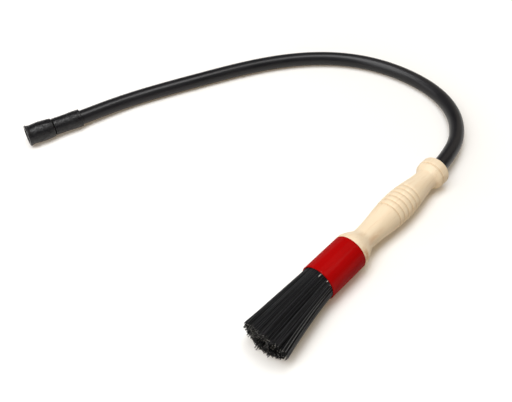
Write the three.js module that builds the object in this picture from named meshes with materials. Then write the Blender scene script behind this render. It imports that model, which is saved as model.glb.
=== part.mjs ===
// Parts washer brush: a turned wooden handle with a red ferrule, a hollow head of
// black bristles, and a hose that feeds fluid through the handle into the bristles.
// Millimetres, Z up. The brush lies on the table at Z = 0 with its handle toward +X.
// Stations run along the brush axis from the ferrule's front edge toward the hose.
import * as THREE from 'three';

// General fits
const fitGap = 0.3;
const roundSegments = 40;

// Hose
const hoseRadius = 6.5;
const hoseBoreRadius = 4;
const hoseSides = 10;
const hoseSteps = 70;

// Ferrule
const ferruleLength = 38.8;
const ferruleRadius = 15;
const ferruleWall = 0.9;
const ferruleLipRound = 0.45;
const ferruleBoreRadius = ferruleRadius - ferruleWall;

// Handle, from its shoulder behind the ferrule to its collar round the hose
const handleLength = 118.5;
const shoulderStep = 0.1;
const shoulderLength = 1.4;
const shoulderFall = 15.5;
const neckRadius = 9.65;
const neckLength = 1;
const bellyRise = 41;
const bellyLength = 6;
const bellyRadius = 13.05;
const rearNeckRadius = 9.3;
const rearNeckLength = 0.6;
const rearFlareLength = 5;
const rearFlareRadius = 12.65;
const rearFlareRun = 1.7;
const collarLength = 8.3;
const collarRadius = 12.85;
const collarEdgeRound = 1.5;
const ridgeHeight = 0.15;
const shoulderRadius = ferruleRadius + shoulderStep;
const shoulderFront = ferruleLength + fitGap;
const shoulderEnd = shoulderFront + shoulderLength;
const neckStart = shoulderEnd + shoulderFall;
const bellyRiseStart = neckStart + neckLength;
const bellyStart = bellyRiseStart + bellyRise;
const bellyEnd = bellyStart + bellyLength;
const collarEndStation = shoulderFront + handleLength;
const collarEdgeStation = collarEndStation - collarEdgeRound;
const ridgeStation = collarEndStation - collarLength;
const rearFlareEnd = ridgeStation - rearFlareRun;
const rearFlareStart = rearFlareEnd - rearFlareLength;
const rearNeckStation = rearFlareStart - rearNeckLength;

// Tenon that the ferrule is pressed on
const tenonLength = 17.1;
const tenonFront = shoulderFront - tenonLength;
const tenonRadius = ferruleBoreRadius - fitGap;
const tenonChamfer = 0.8;

// Turned grooves round the belly
const grooveCount = 6;
const grooveLead = 9.6;
const grooveFirst = bellyStart - grooveLead;
const groovePitch = 5.42;
const grooveWidth = 1.4;
const grooveDepth = 0.42;

// Bores in the handle
const flowBoreRadius = 4;
const hoseSocketDepth = 33.6;
const hoseSocketRadius = hoseRadius + fitGap;
const hoseSocketFront = collarEndStation - hoseSocketDepth;

// Plug that the bristles stand on
const plugBackThickness = 3;
const plugRear = tenonFront - fitGap;
const plugFace = plugRear - plugBackThickness;
const plugCoreLength = 10.7;
const plugCoreFront = plugFace - plugCoreLength;
const plugCoreWall = 1.2;
const plugCoreRadius = flowBoreRadius + plugCoreWall;

// Bristle head
const lockGap = 0.35;
const mouthGap = 0.4;
const lockRoot = plugFace - fitGap;
const outerLockCount = 20;
const innerLockCount = 12;
const headRadius = ferruleBoreRadius - mouthGap;
const headCoreRadius = plugCoreRadius + fitGap;
const headMiddleRadius = 9.8;
const coreTipRadius = 3.6;
const bristleLength = 64.6;
const headTip = -bristleLength;
const tipSideDome = 3.2;
const tipSideSlant = 0.9;
const tipUpSlant = 1.9;
const flareStart = 2;
const flarePower = 1.2;
const flareSide = 0.42;
const flareUp = 0.17;
const headLean = 3.7;
const lockSteps = 7;

// Connector on the hose's free end, stations from its hose end to its mouth
const sleeveLength = 25.9;
const sleeveEndRadius = 7.95;
const sleeveWaistRadius = 7.65;
const sleeveFlareEnd = 9;
const sleeveWaistStart = 17;
const sleeveEdgeRound = 0.6;
const socketStart = sleeveLength + fitGap;
const socketLength = 24;
const socketEnd = socketStart + socketLength;
const socketShoulderRadius = 7.95;
const socketRise = 2;
const socketRiseRadius = 8.45;
const socketSwell = 6;
const socketSwellRadius = 8.95;
const socketBulge = 11;
const socketBulgeRadius = 9.15;
const socketWaist = 19.5;
const socketWaistRadius = 8.65;
const socketLip = 22.6;
const socketLipRadius = 9.45;
const socketLipChamfer = 0.3;
const socketOutsideSteps = 10;
const socketBoreRadius = 6.35;
const hoseReachInSocket = 7.8;
const hoseEndInSocket = socketStart + hoseReachInSocket;

// Resting pose: the shoulder and the collar both touch the table
const restSlope = (shoulderRadius - collarRadius) / (collarEdgeStation - shoulderEnd);
const restTilt = Math.atan(restSlope);
const axisHeight = (shoulderRadius + shoulderEnd * restSlope) * Math.cos(restTilt);

// Hose route from the collar to the connector, lying down on the table
const connectorFrom = new THREE.Vector3(-50.5, 279.8, 8.2);
const connectorTo = new THREE.Vector3(-98.4, 294.5, 9.7);
const hoseRoute = [
  [133.5, 5.4, 12.4],
  [156.5, 11.6, 11.2],
  [178.9, 26.3, 9.2],
  [193.8, 45.6, 7.5],
  [201.2, 67.7, 6.6],
  [202.2, 90.2, 6.5],
  [199, 112.2, 6.5],
  [192.4, 132.7, 6.5],
  [182.5, 151.7, 6.5],
  [169.5, 169.1, 6.5],
  [153.9, 184.8, 6.5],
  [136.3, 198.7, 6.5],
  [117.3, 210.9, 6.5],
  [97.4, 221.8, 6.5],
  [77.1, 231.7, 6.5],
  [56.8, 241.1, 6.5],
  [36.6, 250.3, 6.5],
  [16.6, 259, 6.5],
  [-3.2, 266.7, 6.6],
  [-23.6, 272.8, 7.3],
];

// Materials
const woodMaterial = new THREE.MeshStandardMaterial({ color: 0xe6cba0, roughness: 0.55, metalness: 0 });
const redMaterial = new THREE.MeshStandardMaterial({ color: 0xb01014, roughness: 0.25, metalness: 0.1 });
const resinMaterial = new THREE.MeshStandardMaterial({ color: 0x8a7a58, roughness: 0.6, metalness: 0 });
const bristleMaterial = new THREE.MeshStandardMaterial({ color: 0x1c1c1f, roughness: 0.45, metalness: 0 });
const hoseMaterial = new THREE.MeshStandardMaterial({ color: 0x16161a, roughness: 0.4, metalness: 0 });
const rubberMaterial = new THREE.MeshStandardMaterial({ color: 0x1b1a1d, roughness: 0.75, metalness: 0 });

function smooth(value, from, to) {
  const t = THREE.MathUtils.clamp((value - from) / (to - from), 0, 1);
  return t * t * (3 - 2 * t);
}

function addMesh(parent, name, geometry, material) {
  const mesh = new THREE.Mesh(geometry, material);
  mesh.name = name;
  parent.add(mesh);
}

// Turns a closed outline of [station, radius] pairs round the X axis.
function turned(outline) {
  const points = outline.map(([station, radius]) => new THREE.Vector2(radius, station));
  points.push(points[0].clone());
  const geometry = new THREE.LatheGeometry(points, roundSegments);
  geometry.rotateZ(-Math.PI / 2);
  return geometry;
}

// Quarter round between two directions, as [station, radius] pairs.
function quarterRound(station, radius, round, fromAngle, toAngle, steps) {
  const points = [];
  for (let i = 0; i <= steps; i += 1) {
    const angle = fromAngle + ((toAngle - fromAngle) * i) / steps;
    points.push([station + round * Math.cos(angle), radius + round * Math.sin(angle)]);
  }
  return points;
}

// Handle radius between the shoulder and the rear neck
function handleRadius(station) {
  if (station < neckStart) {
    return THREE.MathUtils.lerp(shoulderRadius, neckRadius, smooth(station, shoulderEnd, neckStart));
  }
  if (station < bellyEnd) {
    return THREE.MathUtils.lerp(neckRadius, bellyRadius, smooth(station, bellyRiseStart, bellyStart));
  }
  return THREE.MathUtils.lerp(bellyRadius, rearNeckRadius, smooth(station, bellyEnd, rearNeckStation));
}

function handleOutline() {
  const outline = [
    [tenonFront, flowBoreRadius],
    [tenonFront, tenonRadius - tenonChamfer],
    [tenonFront + tenonChamfer, tenonRadius],
    [shoulderFront, tenonRadius],
    [shoulderFront, shoulderRadius],
  ];
  const shoulderSteps = 6;
  for (let i = 0; i <= shoulderSteps; i += 1) {
    const station = THREE.MathUtils.lerp(shoulderEnd, neckStart, i / shoulderSteps);
    outline.push([station, handleRadius(station)]);
  }
  const riseSteps = 5;
  for (let i = 1; i < riseSteps; i += 1) {
    const station = THREE.MathUtils.lerp(bellyRiseStart, grooveFirst - groovePitch / 2, i / riseSteps);
    outline.push([station, handleRadius(station)]);
  }
  for (let i = 0; i < grooveCount; i += 1) {
    const station = grooveFirst + i * groovePitch;
    outline.push([station - grooveWidth / 2, handleRadius(station - grooveWidth / 2)]);
    outline.push([station, handleRadius(station) - grooveDepth]);
    outline.push([station + grooveWidth / 2, handleRadius(station + grooveWidth / 2)]);
  }
  const taperStart = grooveFirst + (grooveCount - 0.5) * groovePitch;
  const taperSteps = 5;
  for (let i = 0; i <= taperSteps; i += 1) {
    const station = THREE.MathUtils.lerp(taperStart, rearNeckStation, i / taperSteps);
    outline.push([station, handleRadius(station)]);
  }
  const flareSteps = 6;
  for (let i = 0; i <= flareSteps; i += 1) {
    const share = i / flareSteps;
    outline.push([
      THREE.MathUtils.lerp(rearFlareStart, rearFlareEnd, share),
      THREE.MathUtils.lerp(rearNeckRadius, rearFlareRadius, smooth(share, 0, 1)),
    ]);
  }
  outline.push([ridgeStation - ridgeHeight, collarRadius - ridgeHeight]);
  outline.push([ridgeStation, collarRadius]);
  outline.push(
    ...quarterRound(collarEdgeStation, collarRadius - collarEdgeRound, collarEdgeRound, Math.PI / 2, 0, 4),
  );
  outline.push([collarEndStation, hoseSocketRadius]);
  outline.push([hoseSocketFront, hoseSocketRadius]);
  outline.push([hoseSocketFront, flowBoreRadius]);
  return outline;
}

function ferruleOutline() {
  const wallMiddle = ferruleRadius - ferruleLipRound;
  return [
    ...quarterRound(ferruleLipRound, wallMiddle, ferruleLipRound, -Math.PI / 2, -1.5 * Math.PI, 4),
    [ferruleLength, ferruleRadius],
    [ferruleLength, ferruleBoreRadius],
  ];
}

function plugOutline() {
  return [
    [plugCoreFront, flowBoreRadius],
    [plugCoreFront, plugCoreRadius],
    [plugFace, plugCoreRadius],
    [plugFace, tenonRadius],
    [plugRear, tenonRadius],
    [plugRear, flowBoreRadius],
  ];
}

// Section of one bristle lock: a ring sector with straight gaps to its neighbours
function lockSection(innerRadius, outerRadius, middleAngle, width) {
  const shape = new THREE.Shape();
  const outerHalf = width / 2 - lockGap / 2 / outerRadius;
  const innerHalf = width / 2 - lockGap / 2 / innerRadius;
  const arcSteps = 3;
  for (let i = 0; i <= arcSteps; i += 1) {
    const angle = middleAngle - outerHalf + (2 * outerHalf * i) / arcSteps;
    const x = outerRadius * Math.cos(angle);
    const y = outerRadius * Math.sin(angle);
    if (i === 0) {
      shape.moveTo(x, y);
    } else {
      shape.lineTo(x, y);
    }
  }
  for (let i = arcSteps; i >= 0; i -= 1) {
    const angle = middleAngle - innerHalf + (2 * innerHalf * i) / arcSteps;
    shape.lineTo(innerRadius * Math.cos(angle), innerRadius * Math.sin(angle));
  }
  shape.closePath();
  return shape;
}

// Place of a bristle that is rooted at (side, up), at a share of its way from tip to root.
// The tip is domed and splayed, leans to one side, and closes in on the hollow middle.
function headPoint(side, up, share) {
  const sideShare = side / headRadius;
  const upShare = up / headRadius;
  const tip = headTip + tipSideDome * sideShare ** 2 - tipSideSlant * sideShare - tipUpSlant * upShare;
  const station = THREE.MathUtils.lerp(tip, lockRoot, share);
  const reach = Math.max(0, (flareStart - station) / (flareStart - headTip));
  const flare = reach ** flarePower;
  const radius = Math.hypot(side, up);
  const coreShare = Math.max(0, (headMiddleRadius - radius) / (headMiddleRadius - headCoreRadius));
  const closed = 1 - (flare * coreShare * (headCoreRadius - coreTipRadius)) / radius;
  return new THREE.Vector3(
    station,
    side * closed * (1 + flareSide * flare) - headLean * flare,
    up * closed * (1 + flareUp * flare),
  );
}

// Sweeps a lock from its tip through the ferrule's mouth to its root.
function lockGeometry(section) {
  const geometry = new THREE.ExtrudeGeometry(section, { depth: 1, steps: lockSteps, bevelEnabled: false });
  const position = geometry.attributes.position;
  for (let i = 0; i < position.count; i += 1) {
    position.setXYZ(i, ...headPoint(position.getX(i), position.getY(i), position.getZ(i)));
  }
  return geometry;
}

// Middle of the resting brush's length and width, where the origin is
const headTop = headPoint(0, headRadius, 0);
const collarRise = (collarRadius - collarEdgeRound) * Math.sin(restTilt);
const headRise = headTop.z * Math.sin(restTilt);
const brushMiddle = (collarEndStation + headTop.x + collarRise + headRise) / 2;
const axisAside = -(headPoint(headRadius, 0, 0).y + headPoint(-headRadius, 0, 0).y) / 2;

const product = new THREE.Group();
product.name = 'parts_washer_brush';
const brush = new THREE.Group();
brush.name = 'brush';
brush.rotation.y = restTilt;
brush.position.set(-brushMiddle, axisAside, axisHeight);
product.add(brush);

function addLocks(prefix, count, innerRadius, outerRadius) {
  const width = (2 * Math.PI) / count;
  for (let i = 0; i < count; i += 1) {
    const section = lockSection(innerRadius, outerRadius, i * width, width);
    const name = `${prefix}_${String(i + 1).padStart(2, '0')}`;
    addMesh(brush, name, lockGeometry(section), bristleMaterial);
  }
}

addMesh(brush, 'handle', turned(handleOutline()), woodMaterial);
addMesh(brush, 'ferrule', turned(ferruleOutline()), redMaterial);
addMesh(brush, 'setting_plug', turned(plugOutline()), resinMaterial);
addLocks('bristle_outer', outerLockCount, headMiddleRadius + lockGap / 2, headRadius);
addLocks('bristle_inner', innerLockCount, headCoreRadius, headMiddleRadius - lockGap / 2);

// Hose with its connector
function onBrushAxis(station) {
  return new THREE.Vector3(
    station * Math.cos(restTilt) - brushMiddle,
    axisAside,
    axisHeight - station * Math.sin(restTilt),
  );
}

const connectorAxis = connectorTo.clone().sub(connectorFrom).normalize();

function onConnectorAxis(station) {
  return connectorFrom.clone().addScaledVector(connectorAxis, station);
}

function ringShape(outerRadius, innerRadius, sides) {
  const shape = new THREE.Shape();
  const hole = new THREE.Path();
  for (let i = 0; i < sides; i += 1) {
    const angle = (i / sides) * 2 * Math.PI;
    const outer = [outerRadius * Math.cos(angle), outerRadius * Math.sin(angle)];
    const inner = [innerRadius * Math.cos(angle), innerRadius * Math.sin(angle)];
    if (i === 0) {
      shape.moveTo(...outer);
      hole.moveTo(...inner);
    } else {
      shape.lineTo(...outer);
      hole.lineTo(...inner);
    }
  }
  shape.closePath();
  hole.closePath();
  shape.holes.push(hole);
  return shape;
}

const hosePath = new THREE.CatmullRomCurve3(
  [
    onBrushAxis(hoseSocketFront + fitGap),
    onBrushAxis(rearNeckStation),
    onBrushAxis(collarEndStation),
    ...hoseRoute.map(([x, y, z]) => new THREE.Vector3(x, y, z)),
    onConnectorAxis(0),
    onConnectorAxis(hoseEndInSocket / 2),
    onConnectorAxis(hoseEndInSocket),
  ],
  false,
  'centripetal',
);
const hoseGeometry = new THREE.ExtrudeGeometry(ringShape(hoseRadius, hoseBoreRadius, hoseSides), {
  steps: hoseSteps,
  extrudePath: hosePath,
  bevelEnabled: false,
});
addMesh(product, 'hose', hoseGeometry, hoseMaterial);

const connector = new THREE.Group();
connector.name = 'connector';
connector.position.copy(connectorFrom);
connector.quaternion.setFromUnitVectors(new THREE.Vector3(1, 0, 0), connectorAxis);
product.add(connector);

function sleeveOutline() {
  return [
    [0, hoseSocketRadius],
    [0, sleeveEndRadius - sleeveEdgeRound],
    [sleeveEdgeRound, sleeveEndRadius],
    [sleeveFlareEnd, sleeveEndRadius],
    [sleeveWaistStart, sleeveWaistRadius],
    [sleeveLength, sleeveWaistRadius],
    [sleeveLength, hoseSocketRadius],
  ];
}

function socketOutline() {
  const outside = new THREE.SplineCurve([
    new THREE.Vector2(socketStart, socketShoulderRadius),
    new THREE.Vector2(socketStart + socketRise, socketRiseRadius),
    new THREE.Vector2(socketStart + socketSwell, socketSwellRadius),
    new THREE.Vector2(socketStart + socketBulge, socketBulgeRadius),
    new THREE.Vector2(socketStart + socketWaist, socketWaistRadius),
    new THREE.Vector2(socketStart + socketLip, socketLipRadius),
  ]);
  return [
    [socketStart, hoseSocketRadius],
    ...outside.getPoints(socketOutsideSteps).map((point) => [point.x, point.y]),
    [socketEnd, socketLipRadius - socketLipChamfer],
    [socketEnd, socketBoreRadius],
    [hoseEndInSocket + fitGap, socketBoreRadius],
    [hoseEndInSocket + fitGap, hoseSocketRadius],
  ];
}

addMesh(connector, 'connector_sleeve', turned(sleeveOutline()), rubberMaterial);
addMesh(connector, 'connector_socket', turned(socketOutline()), rubberMaterial);

export default product;
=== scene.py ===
import math
import random

import bpy
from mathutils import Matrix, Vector


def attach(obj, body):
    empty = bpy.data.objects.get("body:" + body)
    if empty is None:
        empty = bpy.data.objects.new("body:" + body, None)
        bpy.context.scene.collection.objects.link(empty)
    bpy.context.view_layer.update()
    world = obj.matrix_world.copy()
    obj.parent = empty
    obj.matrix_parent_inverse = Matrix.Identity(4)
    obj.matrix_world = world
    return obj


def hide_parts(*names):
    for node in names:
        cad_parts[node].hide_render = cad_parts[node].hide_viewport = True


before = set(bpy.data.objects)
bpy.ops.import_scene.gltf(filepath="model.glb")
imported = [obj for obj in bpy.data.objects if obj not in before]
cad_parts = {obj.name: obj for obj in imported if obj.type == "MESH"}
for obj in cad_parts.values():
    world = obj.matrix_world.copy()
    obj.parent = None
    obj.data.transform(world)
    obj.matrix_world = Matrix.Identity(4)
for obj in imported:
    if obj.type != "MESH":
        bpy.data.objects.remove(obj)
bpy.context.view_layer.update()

MM = 0.001
WHITE = (1, 1, 1)

# Driving sizes of the brush in millimetres, with stations along its axis from the ferrule's front edge
FERRULE_LENGTH = 38.8
FERRULE_RADIUS = 15
FERRULE_BORE = 14.1
FERRULE_LIP = 0.5
TENON_START = 22
TENON_RADIUS = 13.8
TENON_CHAMFER = 0.8
FLOW_RADIUS = 4
SHOULDER_START = 38.9
SHOULDER_RADIUS = 15.1
SHOULDER_CHAMFER = 0.25
SHOULDER_END = 40.5
NECK_START = 56
NECK_RADIUS = 9.65
BELLY_RISE = 57
BELLY_START = 98
BELLY_END = 104
BELLY_RADIUS = 13.05
GROOVE_FIRST = 88.4
GROOVE_PITCH = 5.42
GROOVE_COUNT = 6
GROOVE_REACH = 2.1
GROOVE_DEPTH = 0.66
REAR_NECK = 142
REAR_NECK_RADIUS = 9.3
REAR_FLARE_START = 142.6
REAR_FLARE_END = 147.6
REAR_FLARE_RADIUS = 12.65
RING_CUT = 149.3
COLLAR_RADIUS = 12.85
COLLAR_ROUND = 1.5
COLLAR_END = 157.6
COLLAR_EDGE = COLLAR_END - COLLAR_ROUND
HOSE_RADIUS = 6.5
HOSE_SOCKET_RADIUS = 6.8
HOSE_SOCKET_CHAMFER = 0.4
HOSE_SOCKET_FLOOR = 124

# Place of the brush: it rests on its shoulder and collar, with the origin under its middle
BRUSH_MIDDLE = 45.82
AXIS_ASIDE = 3.395
SLOPE = (SHOULDER_RADIUS - COLLAR_RADIUS) / (COLLAR_EDGE - SHOULDER_END)
TILT = math.atan(SLOPE)
AXIS_HEIGHT = (SHOULDER_RADIUS + SHOULDER_END * SLOPE) * math.cos(TILT)


def brush_point(station, side, up):
    """Point of the brush, from millimetres along and across its axis to metres in the frame."""
    return Vector((
        station * math.cos(TILT) + up * math.sin(TILT) - BRUSH_MIDDLE,
        side + AXIS_ASIDE,
        AXIS_HEIGHT - station * math.sin(TILT) + up * math.cos(TILT),
    )) * MM


def smooth(value, low, high):
    """0 below low and 1 above high, with a soft S between them."""
    t = min(1, max(0, (value - low) / (high - low)))
    return t * t * (3 - 2 * t)


def lerp(a, b, t):
    return a + (b - a) * t


# Camera, fitted to the photograph: focal length in its pixels, place in metres, angles in degrees
PHOTO_WIDTH = 512
FOCAL_PIXELS = 700
SENSOR_WIDTH = 36
CAMERA_PLACE = (-0.28475, -0.15508, 0.45355)
CAMERA_PITCH = 39.575
CAMERA_TURN = -47.266

camera_data = bpy.data.cameras.new("camera")
camera_data.sensor_fit = "HORIZONTAL"
camera_data.sensor_width = SENSOR_WIDTH
camera_data.lens = FOCAL_PIXELS * SENSOR_WIDTH / PHOTO_WIDTH
camera = bpy.data.objects.new("camera", camera_data)
camera.location = CAMERA_PLACE
camera.rotation_euler = (math.radians(CAMERA_PITCH), 0, math.radians(CAMERA_TURN))
bpy.context.scene.collection.objects.link(camera)
bpy.context.scene.camera = camera
bpy.context.scene.view_settings.view_transform = "Standard"


# Material helpers
def new_material(name):
    material = bpy.data.materials.new(name)
    material.use_nodes = True
    tree = material.node_tree
    shader = tree.nodes["Principled BSDF"]
    return material, tree, shader


def object_vector(tree):
    return tree.nodes.new("ShaderNodeTexCoord").outputs["Object"]


def noise(tree, vector, scale, detail, roughness, stretch=(1, 1, 1)):
    mapping = tree.nodes.new("ShaderNodeMapping")
    mapping.inputs["Scale"].default_value = stretch
    tree.links.new(vector, mapping.inputs["Vector"])
    texture = tree.nodes.new("ShaderNodeTexNoise")
    texture.inputs["Scale"].default_value = scale
    texture.inputs["Detail"].default_value = detail
    texture.inputs["Roughness"].default_value = roughness
    tree.links.new(mapping.outputs["Vector"], texture.inputs["Vector"])
    return texture.outputs["Fac"]


def ramp(tree, value, first, last):
    """Colour that runs from one (value, colour) stop to the other."""
    node = tree.nodes.new("ShaderNodeValToRGB")
    for element, (place, colour) in zip(node.color_ramp.elements, (first, last)):
        element.position = place
        element.color = (*colour, 1)
    tree.links.new(value, node.inputs["Fac"])
    return node.outputs["Color"]


def fade(tree, value, source, target):
    """Maps the source range of a value to the target range, held at both ends."""
    node = tree.nodes.new("ShaderNodeMapRange")
    node.inputs["From Min"].default_value, node.inputs["From Max"].default_value = source
    node.inputs["To Min"].default_value, node.inputs["To Max"].default_value = target
    tree.links.new(value, node.inputs["Value"])
    return node.outputs["Result"]


def mix_towards(tree, factor, first, colour):
    node = tree.nodes.new("ShaderNodeMix")
    node.data_type = "RGBA"
    tree.links.new(factor, node.inputs["Factor"])
    tree.links.new(first, node.inputs["A"])
    node.inputs["B"].default_value = (*colour, 1)
    return node.outputs["Result"]


def combine(tree, operation, first, second):
    node = tree.nodes.new("ShaderNodeMath")
    node.operation = operation
    tree.links.new(first, node.inputs[0])
    tree.links.new(second, node.inputs[1])
    return node.outputs["Value"]


def vector_math(tree, operation, vector, constant):
    node = tree.nodes.new("ShaderNodeVectorMath")
    node.operation = operation
    tree.links.new(vector, node.inputs[0])
    node.inputs[1].default_value = constant
    return node.outputs["Vector"]


def length(tree, vector):
    node = tree.nodes.new("ShaderNodeVectorMath")
    node.operation = "LENGTH"
    tree.links.new(vector, node.inputs[0])
    return node.outputs["Value"]


def spot(tree, vector, centre, reach):
    """1 at a point of the frame, falling to 0 at its reach along each axis."""
    moved = vector_math(tree, "SUBTRACT", vector, centre)
    scaled = vector_math(tree, "DIVIDE", moved, reach)
    return fade(tree, length(tree, scaled), (0, 1), (1, 0))


def add_bump(tree, shader, height, strength, distance):
    bump = tree.nodes.new("ShaderNodeBump")
    bump.inputs["Strength"].default_value = strength
    bump.inputs["Distance"].default_value = distance
    tree.links.new(height, bump.inputs["Height"])
    tree.links.new(bump.outputs["Normal"], shader.inputs["Normal"])


# Colours of the materials, as linear red, green and blue
WOOD_PALE = (0.85, 0.7, 0.5)
WOOD_WARM = (0.81, 0.63, 0.42)
WOOD_BROWN = (0.62, 0.42, 0.235)
WOOD_STAIN = (0.55, 0.27, 0.1)
# The groove tint is painted shade: it darkens the wood at the bottom of each groove and in the ring cut.
GROOVE_SHADE_TINT = (0.84, 0.76, 0.66)
RED_DEEP = (0.355, 0.0022, 0.0024)
RED_BRIGHT = (0.39, 0.0034, 0.0036)
HOSE_DARK = (0.008, 0.0076, 0.0088)
HOSE_LIGHT = (0.0118, 0.0112, 0.0128)
RUBBER_DARK = (0.0015, 0.0015, 0.0018)
RUBBER_LIGHT = (0.0095, 0.009, 0.0105)
RESIN_DULL = (0.55, 0.51, 0.45)
RESIN_PALE = (0.74, 0.71, 0.66)

# Stains on the wood: station, side and up of the middle and reach in millimetres, then depth of the tone
WOOD_STAINS = (
    ((57, -7.4, 6.1), (17, 4, 4), 0.4),
    ((41.1, -13.4, 6.8), (3.5, 7, 9), 1.0),
)

# Bristle materials: name, darker and lighter colour, roughness and gloss. The strand look is a painted
# highlight, for the bristles that stand apart beside the split, and the deep look is painted shade.
BRISTLE_LOOKS = (
    ("bristle_dark", (0.006, 0.006, 0.0068), (0.0085, 0.0085, 0.0094), 0.5, 0.1),
    ("bristle_nylon", (0.011, 0.011, 0.0122), (0.015, 0.015, 0.0165), 0.46, 0.17),
    ("bristle_light", (0.02, 0.02, 0.0218), (0.028, 0.028, 0.0305), 0.42, 0.26),
    # painted highlight, for the strands that stand apart beside the split
    ("bristle_strand_highlight", (0.054, 0.054, 0.054), (0.078, 0.077, 0.076), 0.4, 0.4),
    ("bristle_cut", (0.003, 0.003, 0.003), (0.42, 0.42, 0.4), 0.6, 0.2),
    # painted shade, for the bristles in the split and round the core
    ("bristle_deep_shade", (0.002, 0.002, 0.0022), (0.004, 0.004, 0.0044), 0.6, 0.05),
)
DARK_AND_SHADE_TONE, NYLON_TONE, LIGHT_TONE, STRAND_HIGHLIGHT_TONE, CUT_TONE, DEEP_SHADE_TONE = range(len(BRISTLE_LOOKS))


def tinted(colour, tint):
    return tuple(value * share for value, share in zip(colour, tint))


def wood_material(name, tint=WHITE):
    material, tree, shader = new_material(name)
    place = object_vector(tree)
    grain = noise(tree, place, scale=90, detail=5, roughness=0.6, stretch=(0.14, 2.2, 2.2))
    fleck = noise(tree, place, scale=370, detail=2, roughness=0.5, stretch=(0.12, 1.7, 1.7))
    tone = noise(tree, place, scale=26, detail=2, roughness=0.5, stretch=(0.45, 1, 1))
    pale = tinted(WOOD_PALE, tint)
    warm = tinted(WOOD_WARM, tint)
    brown = tinted(WOOD_BROWN, tint)
    stain = tinted(WOOD_STAIN, tint)
    colour = ramp(tree, grain, (0.3, warm), (0.55, pale))
    colour = mix_towards(tree, fade(tree, fleck, (0.58, 0.78), (0, 0.35)), colour, brown)
    colour = mix_towards(tree, fade(tree, tone, (0.48, 0.7), (0, 0.7)), colour, warm)
    for middle, reach, depth in WOOD_STAINS:
        blotch = noise(tree, place, scale=260, detail=3, roughness=0.6, stretch=(0.5, 1, 1))
        patch = fade(tree, blotch, (0.25, 0.5), (0, depth))
        near = spot(tree, place, brush_point(*middle), Vector(reach) * MM)
        colour = mix_towards(tree, combine(tree, "MULTIPLY", near, patch), colour, stain)
    tree.links.new(colour, shader.inputs["Base Color"])
    tree.links.new(fade(tree, grain, (0.3, 0.7), (0.5, 0.38)), shader.inputs["Roughness"])
    shader.inputs["Specular IOR Level"].default_value = 0.4
    add_bump(tree, shader, grain, strength=0.15, distance=0.0004)
    return material


def red_material():
    material, tree, shader = new_material("red_gloss")
    cloud = noise(tree, object_vector(tree), scale=60, detail=3, roughness=0.5, stretch=(0.4, 1, 1))
    tree.links.new(ramp(tree, cloud, (0.3, RED_DEEP), (0.7, RED_BRIGHT)), shader.inputs["Base Color"])
    tree.links.new(fade(tree, cloud, (0.3, 0.7), (0.4, 0.46)), shader.inputs["Roughness"])
    shader.inputs["Specular IOR Level"].default_value = 0
    shader.inputs["Coat Weight"].default_value = 0.09
    shader.inputs["Coat Roughness"].default_value = 0.04
    return material


def bristle_material(name, low, high, rough, gloss):
    """Nylon whose tone differs from bristle to bristle."""
    material, tree, shader = new_material(name)
    island = tree.nodes.new("ShaderNodeNewGeometry").outputs["Random Per Island"]
    streak = noise(tree, object_vector(tree), scale=300, detail=2, roughness=0.5, stretch=(0.15, 1, 1))
    sheen = fade(tree, streak, (0.3, 0.7), (rough - 0.06, rough + 0.1))
    tree.links.new(ramp(tree, island, (0.5, low), (0.75, high)), shader.inputs["Base Color"])
    tree.links.new(sheen, shader.inputs["Roughness"])
    shader.inputs["Specular IOR Level"].default_value = gloss
    return material


def hose_material():
    material, tree, shader = new_material("hose_black")
    place = object_vector(tree)
    cloud = noise(tree, place, scale=45, detail=4, roughness=0.6)
    fine = noise(tree, place, scale=700, detail=3, roughness=0.6)
    tree.links.new(ramp(tree, cloud, (0.3, HOSE_DARK), (0.75, HOSE_LIGHT)), shader.inputs["Base Color"])
    tree.links.new(fade(tree, cloud, (0.3, 0.7), (0.36, 0.44)), shader.inputs["Roughness"])
    shader.inputs["Specular IOR Level"].default_value = 0.24
    shader.inputs["Coat Weight"].default_value = 0.16
    shader.inputs["Coat Roughness"].default_value = 0.12
    add_bump(tree, shader, fine, strength=0.05, distance=0.0003)
    return material


def rubber_material():
    material, tree, shader = new_material("connector_rubber")
    place = object_vector(tree)
    cloud = noise(tree, place, scale=230, detail=5, roughness=0.62)
    mottle = noise(tree, place, scale=480, detail=3, roughness=0.6)
    colour = ramp(tree, mottle, (0.35, RUBBER_DARK), (0.7, RUBBER_LIGHT))
    tree.links.new(colour, shader.inputs["Base Color"])
    tree.links.new(fade(tree, mottle, (0.38, 0.62), (0.56, 0.26)), shader.inputs["Roughness"])
    shader.inputs["Specular IOR Level"].default_value = 0.36
    add_bump(tree, shader, cloud, strength=0.5, distance=0.0012)
    return material


def resin_material():
    material, tree, shader = new_material("resin")
    cloud = noise(tree, object_vector(tree), scale=400, detail=3, roughness=0.6)
    tree.links.new(ramp(tree, cloud, (0.3, RESIN_DULL), (0.7, RESIN_PALE)), shader.inputs["Base Color"])
    shader.inputs["Roughness"].default_value = 0.45
    return material


WOOD = wood_material("wood_pale")
# Wood with painted shade, for the bottoms of the grooves and the ring cut
WOOD_GROOVE_SHADE = wood_material("wood_groove_shade", GROOVE_SHADE_TINT)
RED = red_material()
BRISTLES = [bristle_material(*look) for look in BRISTLE_LOOKS]
HOSE = hose_material()
RUBBER = rubber_material()
RESIN = resin_material()


# Piece helpers
def link_piece(name, data, material_slot, *nodes):
    piece = bpy.data.objects.new(name, data)
    bpy.context.scene.collection.objects.link(piece)
    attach(piece, "root")
    if nodes:
        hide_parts(*nodes)
    return piece


def finish_mesh(name, points, faces, materials, indices, crease):
    """Smooth mesh with a material number for each face and sharp edges above the crease in degrees."""
    mesh = bpy.data.meshes.new(name)
    mesh.from_pydata(points, [], faces)
    for material in materials:
        mesh.materials.append(material)
    mesh.polygons.foreach_set("material_index", indices)
    mesh.shade_smooth()
    mesh.set_sharp_from_angle(angle=math.radians(crease))
    mesh.update()
    return mesh


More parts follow.
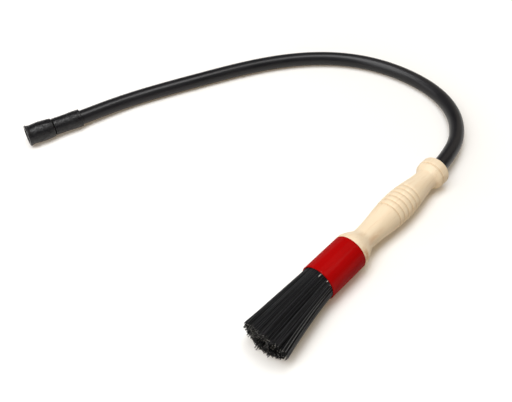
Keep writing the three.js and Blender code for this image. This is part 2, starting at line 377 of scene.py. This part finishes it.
def turned_mesh(name, outline, segments, place, materials, crease, second=()):
    """Turns a closed outline of (station, radius) pairs; steps in second take the second material."""
    count = len(outline)
    points = []
    faces = []
    indices = []
    for j in range(segments):
        angle = 2 * math.pi * j / segments
        for station, radius in outline:
            points.append(place(station, radius * math.cos(angle), radius * math.sin(angle)))
    for j in range(segments):
        k = (j + 1) % segments
        for i in range(count):
            n = (i + 1) % count
            faces.append((j * count + i, j * count + n, k * count + n, k * count + i))
            indices.append(1 if i in second else 0)
    return finish_mesh(name, points, faces, materials, indices, crease)


def tube_faces(first, rings, sides):
    """Faces of a closed tube whose rings of points start at number first, with its end caps last."""
    faces = []
    for i in range(rings - 1):
        a = first + i * sides
        b = a + sides
        for j in range(sides):
            k = (j + 1) % sides
            faces.append((a + j, a + k, b + k, b + j))
    last = first + (rings - 1) * sides
    faces.append(tuple(first + j for j in reversed(range(sides))))
    faces.append(tuple(last + j for j in range(sides)))
    return faces


def arc(station, radius, size, start, end, steps=5):
    """Outline points of a round edge; 0 degrees points along the axis and 90 away from it."""
    turns = [math.radians(lerp(start, end, i / steps)) for i in range(steps + 1)]
    return [(station + size * math.cos(turn), radius + size * math.sin(turn)) for turn in turns]


def rounded_path(points, steps):
    """Centripetal curve through the points."""
    path = []
    ends = [points[0] * 2 - points[1], *points, points[-1] * 2 - points[-2]]
    for p0, p1, p2, p3 in zip(ends, ends[1:], ends[2:], ends[3:]):
        t0 = 0
        t1 = t0 + math.sqrt((p1 - p0).length)
        t2 = t1 + math.sqrt((p2 - p1).length)
        t3 = t2 + math.sqrt((p3 - p2).length)
        for i in range(steps):
            t = lerp(t1, t2, i / steps)
            a1 = p0.lerp(p1, (t - t0) / (t1 - t0))
            a2 = p1.lerp(p2, (t - t1) / (t2 - t1))
            a3 = p2.lerp(p3, (t - t2) / (t3 - t2))
            b1 = a1.lerp(a2, (t - t0) / (t2 - t0))
            b2 = a2.lerp(a3, (t - t1) / (t3 - t1))
            path.append(b1.lerp(b2, (t - t1) / (t2 - t1)))
    path.append(points[-1])
    return path


def side_curve(knots, steps=4):
    """Outline points of a smooth side, without its two ends."""
    path = rounded_path([Vector(knot) for knot in knots], steps)
    return [tuple(point) for point in path[1:-1]]


# Connector on the hose's free end, in millimetres, with stations from the hose towards the mouth
CONNECTOR_FROM = Vector((-50.5, 279.8, 8.2))
CONNECTOR_TO = Vector((-98.4, 294.5, 9.7))
CONNECTOR_AXIS = (CONNECTOR_TO - CONNECTOR_FROM).normalized()
CONNECTOR_SEGMENTS = 72
SLEEVE_END = 25.6
SLEEVE_RADIUS = 8
SLEEVE_FULL = 7
SLEEVE_WAIST = (16, 7.66)
SLEEVE_END_RADIUS = 7.7
SLEEVE_BORE = 6.6
SLEEVE_ROUND = 0.45
SOCKET_START = 26.3
SOCKET_START_RADIUS = 8.4
SOCKET_BULGE = ((30, 8.75), (37, 9.16), (42, 8.9))
SOCKET_WAIST = (46.3, 8.62)
SOCKET_END = 50.2
SOCKET_FLOOR = 34.3
SOCKET_BORE = 6.35
SOCKET_BACK_BORE = 6.8
SOCKET_CHAMFER = 0.6
SOCKET_ROUND = 0.7
LIP_RADIUS = 9.55
LIP_ROUND = 0.9
LIP_START = (48.5, 9.1)

# Hose: length and route in metres, and how far it goes into the collar and connector in millimetres
HOSE_INSET = 12
HOSE_STEPS = 10
HOSE_ROUTE = [
    (0.1335, 0.0054, 0.0124), (0.1565, 0.0116, 0.0112), (0.1789, 0.0263, 0.0092),
    (0.1938, 0.0456, 0.0075), (0.2012, 0.0677, 0.0066), (0.2022, 0.0902, 0.0065),
    (0.1990, 0.1122, 0.0065), (0.1924, 0.1327, 0.0065), (0.1825, 0.1517, 0.0065),
    (0.1695, 0.1691, 0.0065), (0.1539, 0.1848, 0.0065), (0.1363, 0.1987, 0.0065),
    (0.1173, 0.2109, 0.0065), (0.0974, 0.2218, 0.0065), (0.0771, 0.2317, 0.0065),
    (0.0568, 0.2411, 0.0065), (0.0366, 0.2503, 0.0065), (0.0166, 0.2590, 0.0065),
    (-0.0032, 0.2667, 0.0066), (-0.0236, 0.2728, 0.0073),
]


def connector_point(station, side, up):
    """Point of the connector, from millimetres along and across its axis to metres in the frame."""
    across = Vector((0, 0, 1)).cross(CONNECTOR_AXIS).normalized()
    above = CONNECTOR_AXIS.cross(across)
    return (CONNECTOR_FROM + CONNECTOR_AXIS * station + across * side + above * up) * MM


def make_hose():
    knots = [brush_point(COLLAR_END - HOSE_INSET, 0, 0), brush_point(COLLAR_END, 0, 0)]
    knots += [Vector(place) for place in HOSE_ROUTE]
    knots += [connector_point(0, 0, 0), connector_point(HOSE_INSET, 0, 0)]
    path = rounded_path(knots, HOSE_STEPS)
    curve = bpy.data.curves.new("hose_tube", "CURVE")
    curve.dimensions = "3D"
    curve.bevel_depth = HOSE_RADIUS * MM
    curve.bevel_resolution = 9
    curve.use_fill_caps = True
    spline = curve.splines.new("POLY")
    spline.points.add(len(path) - 1)
    for point, place in zip(spline.points, path):
        point.co = (*place, 1)
    spline.use_smooth = True
    curve.materials.append(HOSE)
    return link_piece("hose_tube", curve, "hose", "hose")


def sleeve_outline():
    front = (SLEEVE_ROUND, SLEEVE_RADIUS)
    back = (SLEEVE_END - SLEEVE_ROUND, SLEEVE_END_RADIUS)
    return [
        (0, SLEEVE_BORE),
        *arc(front[0], front[1] - SLEEVE_ROUND, SLEEVE_ROUND, 180, 90),
        *side_curve([front, (SLEEVE_FULL, SLEEVE_RADIUS), SLEEVE_WAIST, back]),
        *arc(back[0], back[1] - SLEEVE_ROUND, SLEEVE_ROUND, 90, 0),
        (SLEEVE_END, SLEEVE_BORE),
    ]


def socket_outline():
    front = (SOCKET_START + SOCKET_ROUND, SOCKET_START_RADIUS)
    return [
        (SOCKET_START, SOCKET_BACK_BORE),
        *arc(front[0], front[1] - SOCKET_ROUND, SOCKET_ROUND, 180, 90),
        *side_curve([front, *SOCKET_BULGE, SOCKET_WAIST, LIP_START]),
        *arc(SOCKET_END - LIP_ROUND, LIP_RADIUS - LIP_ROUND, LIP_ROUND, 150, 0, 8),
        (SOCKET_END, SOCKET_BACK_BORE),
        (SOCKET_END - SOCKET_CHAMFER, SOCKET_BORE),
        (SOCKET_FLOOR, SOCKET_BORE),
        (SOCKET_FLOOR, SOCKET_BACK_BORE),
    ]


def make_connector():
    made = []
    outlines = {"connector_sleeve": sleeve_outline(), "connector_socket": socket_outline()}
    for node, outline in outlines.items():
        name = node + "_rubber"
        mesh = turned_mesh(name, outline, CONNECTOR_SEGMENTS, connector_point, [RUBBER], crease=50)
        made.append(link_piece(name, mesh, "rubber", node))
    return made


hose = make_hose()
connector = make_connector()


# Handle and ferrule: steps of the turned outline, and the ring cut as (station from it, radius) pairs
BRUSH_SEGMENTS = 96
TURN_START = 40.2
TURN_STEP = 0.9
GROOVES = [GROOVE_FIRST + GROOVE_PITCH * i for i in range(GROOVE_COUNT)]
GROOVE_STEPS = 5
# Groove bottoms and the first steps of the ring cut take the wood with painted shade
GROOVE_SHADE_WIDTH = 0.5
GROOVE_NEAR = 2.4
GROOVE_PAST = 2.7
FLARE_STEPS = 10
RING_CUT_SECTION = ((-0.6, 12.6), (-0.25, 12.3), (0.1, 12.72), (0.4, 12.84), (1.1, 12.88))
RING_CUT_SHADE_STEPS = 2


def handle_radius(station):
    if station < NECK_START:
        return lerp(SHOULDER_RADIUS, NECK_RADIUS, smooth(station, SHOULDER_END, NECK_START))
    if station < BELLY_END:
        return lerp(NECK_RADIUS, BELLY_RADIUS, smooth(station, BELLY_RISE, BELLY_START))
    return lerp(BELLY_RADIUS, REAR_NECK_RADIUS, smooth(station, BELLY_END, REAR_NECK))


def add_grooved_side(outline, shaded_steps):
    """Shoulder, neck and belly, with the steps at the bottom of each groove marked for the wood with
    painted shade.
    """
    station = TURN_START
    while station < REAR_NECK:
        groove = next((g for g in GROOVES if abs(g - station) < GROOVE_NEAR), None)
        if groove is None:
            outline.append((station, handle_radius(station)))
            station += TURN_STEP
            continue
        for i in range(-GROOVE_STEPS, GROOVE_STEPS + 1):
            offset = GROOVE_REACH * i / GROOVE_STEPS
            depth = GROOVE_DEPTH * (1 - abs(offset) / GROOVE_REACH) ** 2
            if -GROOVE_SHADE_WIDTH < offset <= 0:
                shaded_steps.add(len(outline))
            outline.append((groove + offset, handle_radius(groove + offset) - depth))
        station = groove + GROOVE_PAST


def make_handle():
    outline = [
        (TENON_START, FLOW_RADIUS),
        (TENON_START, TENON_RADIUS - TENON_CHAMFER),
        (TENON_START + TENON_CHAMFER, TENON_RADIUS),
        (SHOULDER_START, TENON_RADIUS),
        (SHOULDER_START, SHOULDER_RADIUS - SHOULDER_CHAMFER),
        (SHOULDER_START + SHOULDER_CHAMFER, SHOULDER_RADIUS),
    ]
    shaded_steps = set()
    add_grooved_side(outline, shaded_steps)
    for i in range(FLARE_STEPS + 1):
        share = i / FLARE_STEPS
        station = lerp(REAR_FLARE_START, REAR_FLARE_END, share)
        outline.append((station, lerp(REAR_NECK_RADIUS, REAR_FLARE_RADIUS, smooth(share, 0, 1))))
    # The first steps of the ring cut take painted shade
    shaded_steps.update(range(len(outline), len(outline) + RING_CUT_SHADE_STEPS))
    outline += [(RING_CUT + along, radius) for along, radius in RING_CUT_SECTION]
    outline += arc(COLLAR_EDGE, COLLAR_RADIUS - COLLAR_ROUND, COLLAR_ROUND, 90, 0, 6)
    outline += [
        (COLLAR_END, HOSE_SOCKET_RADIUS + HOSE_SOCKET_CHAMFER),
        (COLLAR_END - HOSE_SOCKET_CHAMFER, HOSE_SOCKET_RADIUS),
        (HOSE_SOCKET_FLOOR, HOSE_SOCKET_RADIUS),
        (HOSE_SOCKET_FLOOR, FLOW_RADIUS),
    ]
    name = "handle_wood"
    woods = [WOOD, WOOD_GROOVE_SHADE]
    mesh = turned_mesh(name, outline, BRUSH_SEGMENTS, brush_point, woods, crease=40, second=shaded_steps)
    link_piece(name, mesh, "wood", "handle")


def make_ferrule():
    outline = [
        *arc(FERRULE_LIP, FERRULE_BORE + FERRULE_LIP, FERRULE_LIP, 270, 60, 8),
        (3 * FERRULE_LIP, FERRULE_RADIUS),
        *arc(FERRULE_LENGTH - FERRULE_LIP, FERRULE_RADIUS - FERRULE_LIP, FERRULE_LIP, 90, 0),
        (FERRULE_LENGTH, FERRULE_BORE),
    ]
    mesh = turned_mesh("ferrule_tube", outline, BRUSH_SEGMENTS, brush_point, [RED], crease=50)
    link_piece("ferrule_tube", mesh, "red", "ferrule")


make_handle()
make_ferrule()
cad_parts["setting_plug"].data.materials.clear()
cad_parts["setting_plug"].data.materials.append(RESIN)


# Shape of the bristle head in millimetres
HEAD_RADIUS = 13.7
HEAD_CORE = 5.5
HEAD_MIDDLE = 9.8
HEAD_TIP = -64.6
HEAD_LEAN = 3.2
TIP_DOME = 3.2
TIP_SLANT_SIDE = 0.9
TIP_SLANT_UP = 1.9
FLARE_START = 2
FLARE_POWER = 1.2
FLARE_SIDE = 0.385
FLARE_UP = 0.17
OUTER_LOCKS = 20
INNER_LOCKS = 12
OUTER_LAYER = 0.45
CORE_LAYER = 0.9
CORE_RECESS = 6
CORE_NARROW = 1.8
CORE_WIDE = 4.4
CORE_SHIFT = 2.6

# Single bristles: sizes and spacing in millimetres
BRISTLE_ROOT = 12
BRISTLE_STEPS = 9
BRISTLE_SIDES = 6
BRISTLE_RADIUS = 0.32
BRISTLE_PITCH = 0.74
RING_PITCH = 0.66
FLOOR_CLEARANCE = 1.3 * BRISTLE_RADIUS
TONE_PATTERN = (NYLON_TONE, DARK_AND_SHADE_TONE, LIGHT_TONE, NYLON_TONE, LIGHT_TONE, DARK_AND_SHADE_TONE)
TONE_SKIPS = (1, 1, 2)
# Share of the bristles with painted shade whose cut ends are painted shade as well
SHADED_END_SHARE = 0.6

# Unevenness of the bristles, as shares or in millimetres
ROOT_JITTER = 0.15
ROOT_SWAY = 0.3
CLUMP_COUNT = 260
CLUMP_PULL = (0.1, 0.35)
STRAY_SIDE = 0.35
STRAY_UP = 0.3
TIP_SCATTER = 0.8
LONG_SHARE = 0.08
LONG_EXTRA = (0.3, 1.8)
BOW_SIDE = 0.25
BOW_UP = 0.2
rng = random.Random(7)

# The split along one side of the head: degrees from the top towards -Y, depth and stand in millimetres
SPLIT_BACK = 32
SPLIT_ANGLE = 54
SPLIT_EDGE = 56.5
SPLIT_WALL = 125
SPLIT_REACH = 130
SPLIT_DEPTH = 11.3
SPLIT_TURN = 6
SPLIT_COUNTER_TURN = 1
STRAND_REACH = 112
STRAND_PITCH = 7
STRAND_WIDTH = 2.5
STRAND_STAND = 2.4
STRAND_SPREAD = (0.55, 1)


def head_place(side, up, flare, core):
    """Side and up of a bristle at a flare of 0 to 1; the innermost ones close in to the radius core."""
    radius = math.hypot(side, up)
    core_share = max(0, (HEAD_MIDDLE - radius) / (HEAD_MIDDLE - HEAD_CORE))
    closed = 1 - flare * core_share * (HEAD_CORE - core) / radius
    lean = (CORE_SHIFT * core_share - HEAD_LEAN) * flare
    return side * closed * (1 + FLARE_SIDE * flare) + lean, up * closed * (1 + FLARE_UP * flare)


def head_tip(side, up):
    """Station of the slanted, slightly domed face at the head's tip."""
    across = side / HEAD_RADIUS
    above = up / HEAD_RADIUS
    return HEAD_TIP + TIP_DOME * across * across - TIP_SLANT_SIDE * across - TIP_SLANT_UP * above


def clump_centres():
    centres = []
    for _ in range(CLUMP_COUNT):
        radius = math.sqrt(rng.uniform(HEAD_CORE ** 2, HEAD_RADIUS ** 2))
        angle = rng.uniform(0, 2 * math.pi)
        centres.append((radius * math.cos(angle), radius * math.sin(angle)))
    return centres


CLUMPS = clump_centres()


def bristle_roots():
    """Roots in uneven rings round the core, with a running number."""
    number = 0
    ring = HEAD_RADIUS - ROOT_JITTER
    while ring > HEAD_CORE:
        count = int(2 * math.pi * ring / BRISTLE_PITCH)
        start = rng.uniform(0, 2 * math.pi)
        for i in range(count):
            angle = start + 2 * math.pi * (i + rng.uniform(-ROOT_SWAY, ROOT_SWAY)) / count
            radius = ring + rng.uniform(-ROOT_JITTER, ROOT_JITTER)
            number += rng.choice(TONE_SKIPS)
            yield radius * math.cos(angle), radius * math.sin(angle), radius, number
        ring -= RING_PITCH


def split_turn(degrees, radius):
    """Degrees that a bristle's tip turns round the axis beside the split."""
    if radius < SPLIT_DEPTH:
        return 0
    if SPLIT_ANGLE < degrees < SPLIT_REACH:
        return SPLIT_TURN
    if SPLIT_BACK < degrees <= SPLIT_ANGLE:
        return -SPLIT_COUNTER_TURN * (degrees - SPLIT_BACK) / (SPLIT_ANGLE - SPLIT_BACK)
    return 0


def is_strand(degrees, radius):
    """True for the bristles that stand apart beside the split."""
    outer = radius > HEAD_RADIUS - OUTER_LAYER and SPLIT_EDGE < degrees < STRAND_REACH
    return outer and (degrees - SPLIT_EDGE) % STRAND_PITCH < STRAND_WIDTH


def bristle_path(side, up, radius):
    """Middle line of a bristle from its root to its tip, in metres in the frame."""
    clump = min(CLUMPS, key=lambda c: (c[0] - side) ** 2 + (c[1] - up) ** 2)
    pull = rng.uniform(*CLUMP_PULL)
    core = rng.uniform(CORE_NARROW, CORE_WIDE)
    stray_side = rng.gauss(0, STRAY_SIDE)
    stray_up = rng.gauss(0, STRAY_UP)
    tip = head_tip(side, up) + rng.gauss(0, TIP_SCATTER)
    if rng.random() < LONG_SHARE:
        tip -= rng.uniform(*LONG_EXTRA)
    if radius < HEAD_CORE + CORE_LAYER:
        tip += CORE_RECESS * (CORE_WIDE - core) / (CORE_WIDE - CORE_NARROW)
    bow_side = rng.gauss(0, BOW_SIDE)
    bow_up = rng.gauss(0, BOW_UP)
    spread = rng.uniform(*STRAND_SPREAD)
    angle = math.atan2(-side, up)
    turn = math.radians(split_turn(math.degrees(angle), radius))
    outward = STRAND_STAND * spread if is_strand(math.degrees(angle), radius) else 0
    path = []
    for i in range(BRISTLE_STEPS + 1):
        station = lerp(BRISTLE_ROOT, tip, i / BRISTLE_STEPS)
        flare = max(0, (FLARE_START - station) / (FLARE_START - HEAD_TIP)) ** FLARE_POWER
        swing = turn * flare ** 2
        turned_side = side * math.cos(swing) - up * math.sin(swing)
        turned_up = side * math.sin(swing) + up * math.cos(swing)
        a, b = head_place(turned_side, turned_up, flare, core)
        clump_a, clump_b = head_place(*clump, flare, core)
        wave = math.sin(math.pi * min(1, flare))
        hold = pull * flare * (turn == 0)
        stand = outward * flare ** 2
        a = lerp(a, clump_a, hold) + stray_side * flare + bow_side * wave - stand * math.sin(angle)
        b = lerp(b, clump_b, hold) + stray_up * flare + bow_up * wave + stand * math.cos(angle)
        point = brush_point(station, a, b)
        point.z = max(point.z, FLOOR_CLEARANCE * MM)
        path.append(point)
    return path


def bristle_tone(side, up, radius, number):
    """Material number: painted highlight on the strands, painted shade beside the split, deeper painted
    shade under it and round the core, else in turn.
    """
    degrees = math.degrees(math.atan2(-side, up))
    if is_strand(degrees, radius):
        return STRAND_HIGHLIGHT_TONE
    beside = SPLIT_ANGLE < degrees < SPLIT_WALL
    if beside and radius > SPLIT_DEPTH:
        return DARK_AND_SHADE_TONE
    if beside or radius < HEAD_CORE + CORE_LAYER:
        return DEEP_SHADE_TONE
    return TONE_PATTERN[number % len(TONE_PATTERN)]


def add_bristle(path, tone, points, faces, indices):
    first = len(points)
    turn = rng.uniform(0, math.pi)
    for i, place in enumerate(path):
        ahead = path[min(i + 1, len(path) - 1)] - path[max(i - 1, 0)]
        across = ahead.cross(Vector((0, 0, 1))).normalized()
        above = across.cross(ahead).normalized()
        for j in range(BRISTLE_SIDES):
            angle = turn + 2 * math.pi * j / BRISTLE_SIDES
            outward = across * math.cos(angle) + above * math.sin(angle)
            points.append(place + outward * BRISTLE_RADIUS * MM)
    tube = tube_faces(first, len(path), BRISTLE_SIDES)
    faces += tube
    indices += [tone] * (len(tube) - 1)
    indices.append(DEEP_SHADE_TONE if tone == DEEP_SHADE_TONE and rng.random() < SHADED_END_SHARE else CUT_TONE)


def make_bristles():
    locks = {}
    for side, up, radius, number in bristle_roots():
        ring, count = ("inner", INNER_LOCKS) if radius < HEAD_MIDDLE else ("outer", OUTER_LOCKS)
        angle = math.atan2(up, side) % (2 * math.pi)
        place = int(round(angle / (2 * math.pi / count))) % count + 1
        points, faces, indices = locks.setdefault(f"bristle_{ring}_{place:02d}", ([], [], []))
        tone = bristle_tone(side, up, radius, number)
        add_bristle(bristle_path(side, up, radius), tone, points, faces, indices)
    for node, (points, faces, indices) in locks.items():
        name = node + "_strands"
        mesh = finish_mesh(name, points, faces, BRISTLES, indices, crease=80)
        link_piece(name, mesh, "bristle", node)


make_bristles()


# Small pale flecks on the bristles at the ferrule's front edge: station, degrees from the top, length
PALE_FLECKS = ((-1.7, -8, 3.6), (-0.6, -36, 2.0), (-0.5, -51, 0.9))
FLECK_RADIUS = 0.28
FLECK_END_RADIUS = 0.02
FLECK_POWER = 0.6
FLECK_STAND = 0.3
FLECK_RINGS = 9
FLECK_SIDES = 8


def make_flecks():
    points = []
    faces = []
    for station, degrees, fleck_length in PALE_FLECKS:
        angle = math.radians(degrees)
        faces += tube_faces(len(points), FLECK_RINGS, FLECK_SIDES)
        for i in range(FLECK_RINGS):
            share = i / (FLECK_RINGS - 1)
            along = station + fleck_length * (share - 0.5)
            radius = max(FLECK_END_RADIUS, FLECK_RADIUS * math.sin(math.pi * share) ** FLECK_POWER)
            for j in range(FLECK_SIDES):
                turn = 2 * math.pi * j / FLECK_SIDES
                away = HEAD_RADIUS + FLECK_STAND + radius * math.sin(turn)
                aside = radius * math.cos(turn)
                side = away * math.sin(angle) + aside * math.cos(angle)
                up = away * math.cos(angle) - aside * math.sin(angle)
                points.append(brush_point(along, side, up))
    mesh = finish_mesh("pale_flecks", points, faces, [RESIN], [0] * len(faces), crease=60)
    link_piece("pale_flecks", mesh, "resin")


make_flecks()


# Stage: a flat floor that sweeps up into a wall all round, in metres
STAGE_MIDDLE = Vector((0.05, 0.12, 0))
STAGE_SEGMENTS = 64
STAGE_RADIUS = 5
FLOOR_RADIUS = 4
FLOOR_SINK = 0.0002
SWEEP_HEIGHT = 0.6
SWEEP_STEPS = 6
WALL_HEIGHT = 1.5

# Floor's colour as seen and as it lights the object, and the glow that makes the far floor white
FLOOR_SEEN = (0.805, 0.82, 0.825)
FLOOR_BOUNCE = (0.79, 0.71, 0.58)
GLOW_REACH = (0.15, 1.0)
GLOW_STRENGTH = (0.15, 1)
GLOW_TINT = (1, 0.74, 0.45)
TINT_REACH = (0.12, 0.42)
WALL_FADE = (0.25, 1.1)
WALL_STRENGTH = (1, 0.3)


def floor_material():
    """Pale floor; its glow shows only to the camera and in reflections, and is warm near the object."""
    material, tree, shader = new_material("floor_white")
    shader.inputs["Roughness"].default_value = 0.9
    shader.inputs["Specular IOR Level"].default_value = 0
    rays = tree.nodes.new("ShaderNodeLightPath").outputs
    seen = combine(tree, "MAXIMUM", rays["Is Camera Ray"], rays["Is Glossy Ray"])
    seen = combine(tree, "MAXIMUM", seen, rays["Is Transmission Ray"])
    tree.links.new(ramp(tree, seen, (0, FLOOR_BOUNCE), (1, FLOOR_SEEN)), shader.inputs["Base Color"])
    place = object_vector(tree)
    away = length(tree, place)
    height = tree.nodes.new("ShaderNodeSeparateXYZ")
    tree.links.new(place, height.inputs[0])
    glow = fade(tree, away, GLOW_REACH, GLOW_STRENGTH)
    glow = combine(tree, "MULTIPLY", glow, fade(tree, height.outputs["Z"], WALL_FADE, WALL_STRENGTH))
    tint = ramp(tree, fade(tree, away, TINT_REACH, (0, 1)), (0, GLOW_TINT), (1, WHITE))
    tree.links.new(tint, shader.inputs["Emission Color"])
    tree.links.new(combine(tree, "MULTIPLY", seen, glow), shader.inputs["Emission Strength"])
    return material


def make_floor():
    outline = []
    for i in range(SWEEP_STEPS + 1):
        turn = math.pi / 2 * i / SWEEP_STEPS
        radius = lerp(FLOOR_RADIUS, STAGE_RADIUS, math.sin(turn))
        outline.append((radius, SWEEP_HEIGHT * (1 - math.cos(turn))))
    outline.append((STAGE_RADIUS, WALL_HEIGHT))
    rows = len(outline)
    points = []
    faces = [tuple(j * rows for j in range(STAGE_SEGMENTS))]
    for j in range(STAGE_SEGMENTS):
        angle = 2 * math.pi * j / STAGE_SEGMENTS
        for radius, height in outline:
            points.append((radius * math.cos(angle), radius * math.sin(angle), height))
        a = j * rows
        b = (j + 1) % STAGE_SEGMENTS * rows
        for i in range(rows - 1):
            faces.append((a + i, a + i + 1, b + i + 1, b + i))
    mesh = finish_mesh("floor", points, faces, [floor_material()], [0] * len(faces), crease=60)
    floor = bpy.data.objects.new("floor", mesh)
    floor.location = STAGE_MIDDLE - Vector((0, 0, FLOOR_SINK))
    bpy.context.scene.collection.objects.link(floor)


# Light: each lamp's name, direction from the stage's middle, side in metres, power in watts and colour
WORLD_STRENGTH = 0.01
LAMP_DISTANCE = 1.4
WARM = (1, 0.9, 0.78)
LAMPS = (
    ("left_high", (-0.462, 0.07, 0.884), 0.75, 9, WHITE),
    ("left_low", (-0.81, -0.04, 0.55), 0.75, 3.8, WHITE),
    ("right_low", (0.79, 0, 0.61), 1.2, 2.6, WARM),
    ("overhead", (0.02, 0.03, 1), 0.7, 10.7, WHITE),
    ("front", (0.4, -0.332, 0.86), 0.6, 1.2, WARM),
    ("back", (-0.593, 0.593, 0.545), 0.75, 3.3, WHITE),
)


def make_world():
    world = bpy.data.worlds.new("studio")
    world.use_nodes = True
    background = world.node_tree.nodes["Background"]
    background.inputs["Color"].default_value = (*WHITE, 1)
    background.inputs["Strength"].default_value = WORLD_STRENGTH
    bpy.context.scene.world = world


def make_lamp(name, direction, side, power, colour):
    data = bpy.data.lights.new(name, "AREA")
    data.shape = "SQUARE"
    data.size = side
    data.energy = power
    data.color = colour
    lamp = bpy.data.objects.new(name, data)
    towards = Vector(direction).normalized()
    lamp.location = STAGE_MIDDLE + towards * LAMP_DISTANCE
    lamp.rotation_euler = (-towards).to_track_quat("-Z", "Y").to_euler()
    bpy.context.scene.collection.objects.link(lamp)


make_floor()
make_world()
for lamp in LAMPS:
    make_lamp(*lamp)
